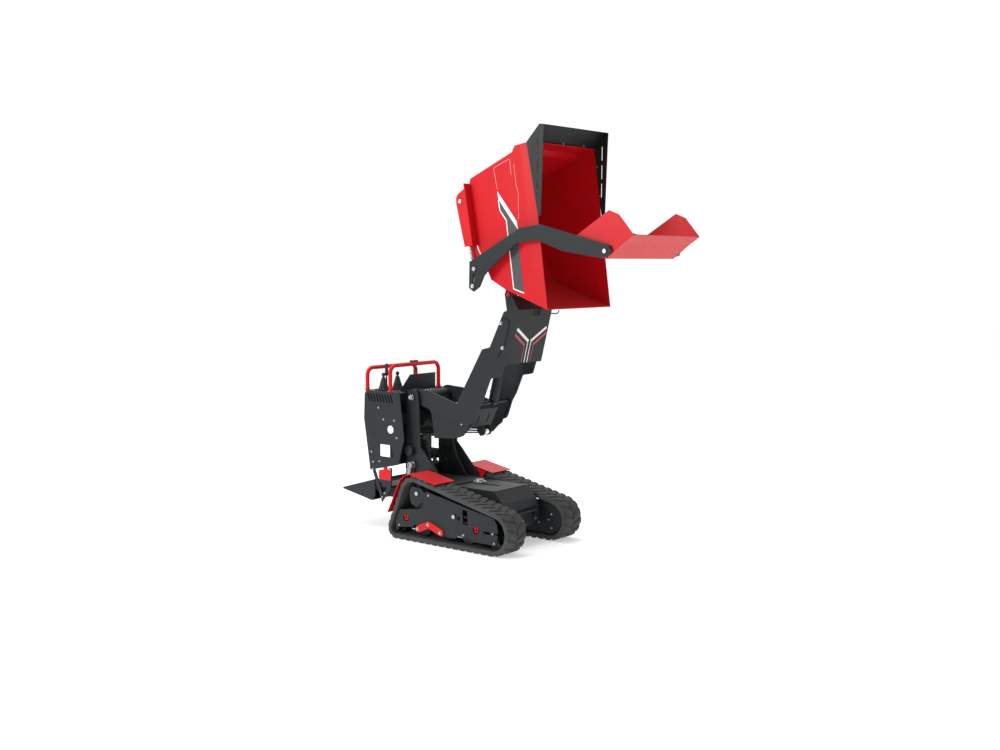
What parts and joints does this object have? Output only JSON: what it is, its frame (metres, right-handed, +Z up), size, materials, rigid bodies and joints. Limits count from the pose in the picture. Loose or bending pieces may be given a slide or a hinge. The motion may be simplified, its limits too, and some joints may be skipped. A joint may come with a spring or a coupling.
{
  "type": "tracked site dumper",
  "caption": "Tracked walk-behind site dumper with a raised high-tip boom, a tipped skip and a self-loading shovel on twin arms.",
  "frame": {"origin": "ground level under the middle of the overall length and width", "axes": "+X forward, +Y to the machine's left, +Z up"},
  "size_m": [2.7102, 0.85, 2.8892],
  "materials": {
    "dark_steel": "satin",
    "red_paint": "gloss",
    "rubber": "matte",
    "bare_steel": "satin",
    "chrome": "polished",
    "grey_metal": "satin",
    "plastic": "satin"
  },
  "bodies": {
    "machine": {"boom_pin": "bare_steel", "chassis_cover": "dark_steel", "chassis_frame": "dark_steel", "console_deck": "dark_steel", "console_rear_panel": "dark_steel", "console_side_left": "dark_steel", "console_side_right": "dark_steel", "control_levers": "plastic", "dash_panel": "dark_steel", "engine_block": "grey_metal", "handrail_front": "red_paint", "handrail_rear": "red_paint", "hydraulic_filter": "grey_metal", "mast_frame": "dark_steel", "rear_frame": "red_paint", "lift_cylinder_pin": "bare_steel", "bogie_left": "red_paint", "bogie_right": "red_paint", "drive_sprocket_left": "bare_steel", "drive_sprocket_right": "bare_steel", "fender_left": "red_paint", "fender_right": "red_paint", "front_idler_left": "bare_steel", "front_idler_right": "bare_steel", "front_roller_left": "bare_steel", "front_roller_right": "bare_steel", "tail_roller_left": "bare_steel", "tail_roller_right": "bare_steel", "track_belt_left": "rubber", "track_belt_right": "rubber", "track_frame_left": "dark_steel", "track_frame_right": "dark_steel"},
    "boom": {"boom_head": "dark_steel", "boom_hinge_tube": "dark_steel", "boom_knee": "dark_steel", "boom_plate_left": "dark_steel", "boom_plate_right": "dark_steel", "tip_cylinder_pin": "bare_steel"},
    "lift_barrel": {"lift_cylinder_barrel": "dark_steel"},
    "lift_rod": {"lift_cylinder_rod": "chrome"},
    "skip": {"skip_tub": "red_paint", "skip_hood": "dark_steel", "skip_carrier": "red_paint", "cylinder_channel_left": "red_paint", "cylinder_channel_right": "red_paint"},
    "tip_barrel": {"tip_cylinder_barrel": "dark_steel"},
    "tip_rod": {"tip_cylinder_rod": "chrome"},
    "shovel_arms": {"shovel_arm_left": "dark_steel", "shovel_arm_right": "dark_steel", "arm_cross_tube": "dark_steel"},
    "shovel": {"shovel_scoop": "red_paint"},
    "arm_barrel_left": {"arm_left_cylinder_barrel": "dark_steel"},
    "arm_barrel_right": {"arm_right_cylinder_barrel": "dark_steel"},
    "arm_rod_left": {"arm_left_cylinder_rod": "chrome"},
    "arm_rod_right": {"arm_right_cylinder_rod": "chrome"},
    "platform": {"foot_platform": "dark_steel"}
  },
  "joints": [
    {"name": "boom_lift", "type": "hinge", "parent": "machine", "child": "boom", "pos_m": [-0.676, 0, 1.013], "axis": [0, -1, 0], "range_deg": [-49, 0]},
    {"name": "lift_barrel_swing", "type": "hinge", "parent": "machine", "child": "lift_barrel", "pos_m": [-0.86, 0, 0.74], "axis": [0, -1, 0], "range_deg": [-41.88, 1]},
    {"name": "lift_rod_stroke", "type": "slide", "parent": "lift_barrel", "child": "lift_rod", "axis": [0.9979, 0, 0.0642], "range_m": [-0.2677, 0.001]},
    {"name": "skip_tip", "type": "hinge", "parent": "boom", "child": "skip", "pos_m": [0.165, 0, 1.776], "axis": [0, 1, 0], "range_deg": [-131, 0]},
    {"name": "tip_barrel_swing", "type": "hinge", "parent": "boom", "child": "tip_barrel", "pos_m": [-0.085, 0, 1], "axis": [0, -1, 0], "range_deg": [-6, 6]},
    {"name": "tip_rod_stroke", "type": "slide", "parent": "tip_barrel", "child": "tip_rod", "axis": [0.2436, 0, 0.9699], "range_m": [-0.2039, 0.001]},
    {"name": "shovel_arm_lift", "type": "hinge", "parent": "skip", "child": "shovel_arms", "pos_m": [0.09593, 0, 1.95342], "axis": [0, -1, 0], "range_deg": [-100, 6]},
    {"name": "shovel_tilt", "type": "hinge", "parent": "shovel_arms", "child": "shovel", "pos_m": [1.15613, 0, 2.06765], "axis": [0, -1, 0], "range_deg": [-20, 25]},
    {"name": "platform_fold", "type": "hinge", "parent": "machine", "child": "platform", "pos_m": [-1.022, 0, 0.3], "axis": [0, 1, 0], "range_deg": [0, 62]},
    {"name": "arm_barrel_swing_left", "type": "hinge", "parent": "skip", "child": "arm_barrel_left", "pos_m": [-0.04269, 0.378, 2.4101], "axis": [0, -1, 0], "range_deg": [-14, 6]},
    {"name": "arm_rod_stroke_left", "type": "slide", "parent": "arm_barrel_left", "child": "arm_rod_left", "axis": [0.2145, 0, -0.9767], "range_m": [-0.15268, 0.0101]},
    {"name": "arm_barrel_swing_right", "type": "hinge", "parent": "skip", "child": "arm_barrel_right", "pos_m": [-0.04269, -0.378, 2.4101], "axis": [0, -1, 0], "range_deg": [-14, 6]},
    {"name": "arm_rod_stroke_right", "type": "slide", "parent": "arm_barrel_right", "child": "arm_rod_right", "axis": [0.2145, 0, -0.9767], "range_m": [-0.15268, 0.0101]}
  ],
  "couplings": [
    {"joint": "lift_barrel_swing", "follows": "boom_lift", "ratio": 0.83426},
    {"joint": "lift_rod_stroke", "follows": "boom_lift", "m_per_rad": 0.30574},
    {"joint": "tip_barrel_swing", "follows": "skip_tip", "ratio": 0.009963},
    {"joint": "tip_rod_stroke", "follows": "skip_tip", "m_per_rad": 0.087003},
    {"joint": "arm_barrel_swing_left", "follows": "shovel_arm_lift", "ratio": 0.12038},
    {"joint": "arm_rod_stroke_left", "follows": "shovel_arm_lift", "m_per_rad": 0.085203},
    {"joint": "arm_barrel_swing_right", "follows": "shovel_arm_lift", "ratio": 0.12038},
    {"joint": "arm_rod_stroke_right", "follows": "shovel_arm_lift", "m_per_rad": 0.085203}
  ]
}
